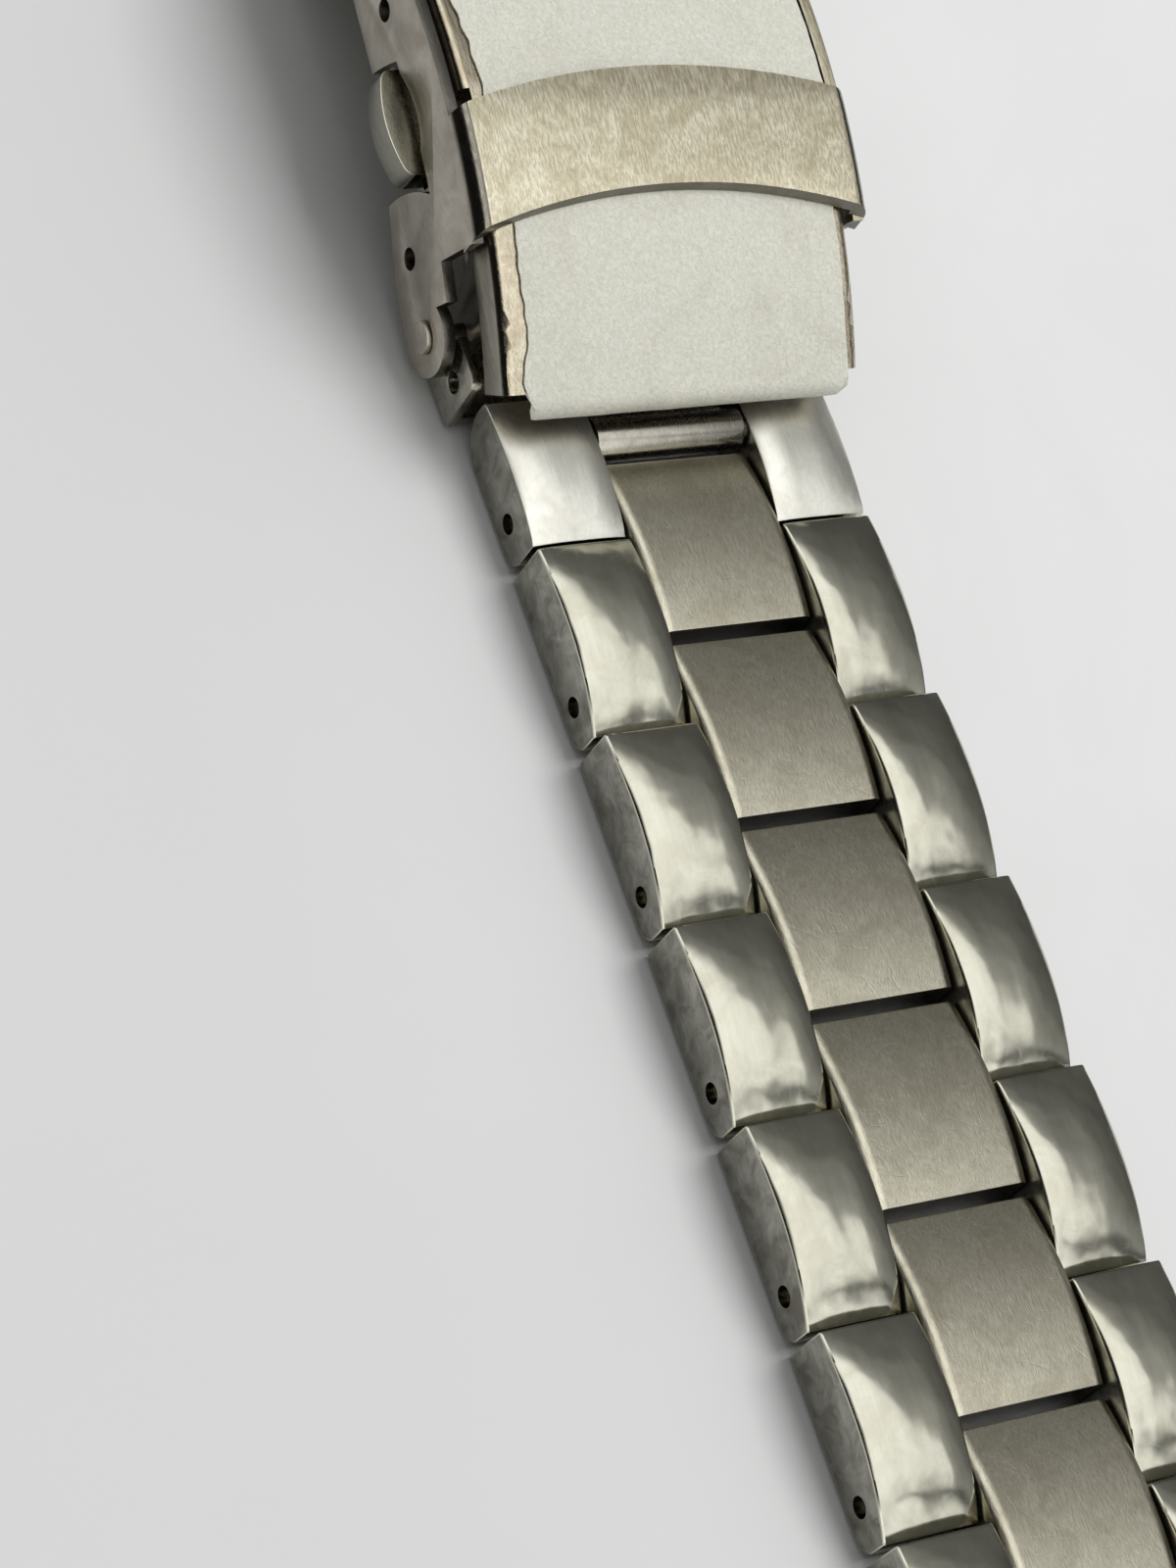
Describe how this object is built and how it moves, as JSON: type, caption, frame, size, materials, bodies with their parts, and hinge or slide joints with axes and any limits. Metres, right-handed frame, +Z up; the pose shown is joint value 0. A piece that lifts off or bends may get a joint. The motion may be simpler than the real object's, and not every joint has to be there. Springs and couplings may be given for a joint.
{
  "type": "watch bracelet",
  "caption": "Steel link watch bracelet lying flat, with a folding clasp, safety lock, push buttons and spring bars for a watch case",
  "frame": {"origin": "centre of the whole bracelet's footprint, on the surface that it lies on", "axes": "+X along the bracelet towards the end of the front strap, the one beside the safety lock; +Y across it, so that the left side has negative Y; +Z up, out of the clasp cover's top"},
  "size_m": [0.186, 0.0258, 0.0131],
  "materials": {
    "polished_steel": "bright polished stainless steel",
    "satin_steel": "satin, brushed lengthwise",
    "sheet_steel": "stamped sheet, brushed on its faces",
    "pin_steel": "plain drawn wire",
    "film": "white protective film"
  },
  "bodies": {
    "cover": {"clasp_cover": "sheet_steel", "cover_film": "film", "cover_hinge_pin": "pin_steel"},
    "safety_lock": {"safety_lock": "sheet_steel"},
    "button_left": {"button_left": "polished_steel", "button_spring_left": "pin_steel"},
    "button_right": {"button_right": "polished_steel", "button_spring_right": "pin_steel"},
    "middle_blade": {"middle_blade": "sheet_steel"},
    "inner_blade": {"inner_blade": "sheet_steel", "fold_hinge_pin": "pin_steel"},
    "front_end": {"front_end_outers": "polished_steel", "front_end_spring_bar": "pin_steel", "front_end_pin": "pin_steel"},
    "back_end": {"back_end_link": "satin_steel", "back_end_spring_bar": "pin_steel", "back_end_pin": "pin_steel"},
    "link_01": {"link_01_outers": "polished_steel", "link_01_center": "satin_steel", "link_01_pins": "pin_steel"},
    "link_02": {"link_02_outers": "polished_steel", "link_02_center": "satin_steel", "link_02_pins": "pin_steel"},
    "link_03": {"link_03_outers": "polished_steel", "link_03_center": "satin_steel", "link_03_pins": "pin_steel"},
    "link_04": {"link_04_outers": "polished_steel", "link_04_center": "satin_steel", "link_04_pins": "pin_steel"},
    "link_05": {"link_05_outers": "polished_steel", "link_05_center": "satin_steel", "link_05_pins": "pin_steel"},
    "link_06": {"link_06_outers": "polished_steel", "link_06_center": "satin_steel", "link_06_pins": "pin_steel"},
    "link_07": {"link_07_outers": "polished_steel", "link_07_center": "satin_steel", "link_07_pins": "pin_steel"},
    "link_08": {"link_08_outers": "polished_steel", "link_08_center": "satin_steel", "link_08_pins": "pin_steel"},
    "link_09": {"link_09_outers": "polished_steel", "link_09_center": "satin_steel", "link_09_pins": "pin_steel"},
    "link_10": {"link_10_outers": "polished_steel", "link_10_center": "satin_steel", "link_10_pins": "pin_steel"},
    "link_11": {"link_11_outers": "polished_steel", "link_11_center": "satin_steel", "link_11_pins": "pin_steel"},
    "case_end_front": {"case_end_front": "polished_steel", "case_bar_front": "pin_steel"},
    "case_tip_left_front": {"case_bar_tip_left_front": "pin_steel"},
    "case_tip_right_front": {"case_bar_tip_right_front": "pin_steel"},
    "case_end_back": {"case_end_back": "polished_steel", "case_bar_back": "pin_steel"},
    "case_tip_left_back": {"case_bar_tip_left_back": "pin_steel"},
    "case_tip_right_back": {"case_bar_tip_right_back": "pin_steel"}
  },
  "joints": [
    {"name": "safety_lock_hinge", "type": "hinge", "parent": "cover", "child": "safety_lock", "pos_m": [-0.0006, 0, 0.0026], "axis": [0, 1, 0], "range_deg": [0, 72]},
    {"name": "button_left_push", "type": "slide", "parent": "cover", "child": "button_left", "axis": [0, 1, 0], "range_m": [0, 0.0008], "stiffness_N_per_m": 400, "springref_m": -0.0015, "deforming": ["button_spring_left"]},
    {"name": "button_right_push", "type": "slide", "parent": "cover", "child": "button_right", "axis": [0, -1, 0], "range_m": [0, 0.0008], "stiffness_N_per_m": 400, "springref_m": -0.0015, "deforming": ["button_spring_right"]},
    {"name": "cover_hinge", "type": "hinge", "parent": "cover", "child": "middle_blade", "pos_m": [-0.0006, 0, 0.0026], "axis": [0, 1, 0], "range_deg": [-170, 0]},
    {"name": "fold_hinge", "type": "hinge", "parent": "middle_blade", "child": "inner_blade", "pos_m": [-0.0306, 0, 0.0016], "axis": [0, 1, 0], "range_deg": [0, 170]},
    {"name": "front_end_hinge", "type": "hinge", "parent": "inner_blade", "child": "front_end", "pos_m": [0.0061, 0, 0.00235], "axis": [0, 1, 0], "range_deg": [-10, 30]},
    {"name": "back_end_hinge", "type": "hinge", "parent": "cover", "child": "back_end", "pos_m": [-0.03372, 0, 0.00329], "axis": [0, 1, 0], "range_deg": [-30, 6]},
    {"name": "link_01_hinge", "type": "hinge", "parent": "front_end", "child": "link_01", "pos_m": [0.0099, 0, 0.0013], "axis": [0, 1, 0], "range_deg": [-8, 30]},
    {"name": "link_02_hinge", "type": "hinge", "parent": "link_01", "child": "link_02", "pos_m": [0.0205, 0, 0.0013], "axis": [0, 1, 0], "range_deg": [-8, 30]},
    {"name": "link_03_hinge", "type": "hinge", "parent": "link_02", "child": "link_03", "pos_m": [0.0311, 0, 0.0013], "axis": [0, 1, 0], "range_deg": [-8, 30]},
    {"name": "link_04_hinge", "type": "hinge", "parent": "link_03", "child": "link_04", "pos_m": [0.0417, 0, 0.0013], "axis": [0, 1, 0], "range_deg": [-8, 30]},
    {"name": "link_05_hinge", "type": "hinge", "parent": "link_04", "child": "link_05", "pos_m": [0.0523, 0, 0.0013], "axis": [0, 1, 0], "range_deg": [-8, 30]},
    {"name": "link_06_hinge", "type": "hinge", "parent": "link_05", "child": "link_06", "pos_m": [0.0629, 0, 0.0013], "axis": [0, 1, 0], "range_deg": [-8, 30]},
    {"name": "link_07_hinge", "type": "hinge", "parent": "link_06", "child": "link_07", "pos_m": [0.0735, 0, 0.0013], "axis": [0, 1, 0], "range_deg": [-8, 30]},
    {"name": "case_end_front_hinge", "type": "hinge", "parent": "link_07", "child": "case_end_front", "pos_m": [0.0841, 0, 0.0013], "axis": [0, 1, 0], "range_deg": [-8, 30]},
    {"name": "link_08_hinge", "type": "hinge", "parent": "back_end", "child": "link_08", "pos_m": [-0.0417, 0, 0.0013], "axis": [0, 1, 0], "range_deg": [-30, 8]},
    {"name": "link_09_hinge", "type": "hinge", "parent": "link_08", "child": "link_09", "pos_m": [-0.0523, 0, 0.0013], "axis": [0, 1, 0], "range_deg": [-30, 8]},
    {"name": "link_10_hinge", "type": "hinge", "parent": "link_09", "child": "link_10", "pos_m": [-0.0629, 0, 0.0013], "axis": [0, 1, 0], "range_deg": [-30, 8]},
    {"name": "link_11_hinge", "type": "hinge", "parent": "link_10", "child": "link_11", "pos_m": [-0.0735, 0, 0.0013], "axis": [0, 1, 0], "range_deg": [-30, 8]},
    {"name": "case_end_back_hinge", "type": "hinge", "parent": "link_11", "child": "case_end_back", "pos_m": [-0.0841, 0, 0.0013], "axis": [0, 1, 0], "range_deg": [-30, 8]},
    {"name": "case_tip_left_front_push", "type": "slide", "parent": "case_end_front", "child": "case_tip_left_front", "axis": [0, 1, 0], "range_m": [0, 0.0009], "stiffness_N_per_m": 300, "springref_m": -0.002},
    {"name": "case_tip_right_front_push", "type": "slide", "parent": "case_end_front", "child": "case_tip_right_front", "axis": [0, -1, 0], "range_m": [0, 0.0009], "stiffness_N_per_m": 300, "springref_m": -0.002},
    {"name": "case_tip_left_back_push", "type": "slide", "parent": "case_end_back", "child": "case_tip_left_back", "axis": [0, 1, 0], "range_m": [0, 0.0009], "stiffness_N_per_m": 300, "springref_m": -0.002},
    {"name": "case_tip_right_back_push", "type": "slide", "parent": "case_end_back", "child": "case_tip_right_back", "axis": [0, -1, 0], "range_m": [0, 0.0009], "stiffness_N_per_m": 300, "springref_m": -0.002}
  ],
  "couplings": [
    {"joint": "fold_hinge", "follows": "cover_hinge", "ratio": -1}
  ]
}
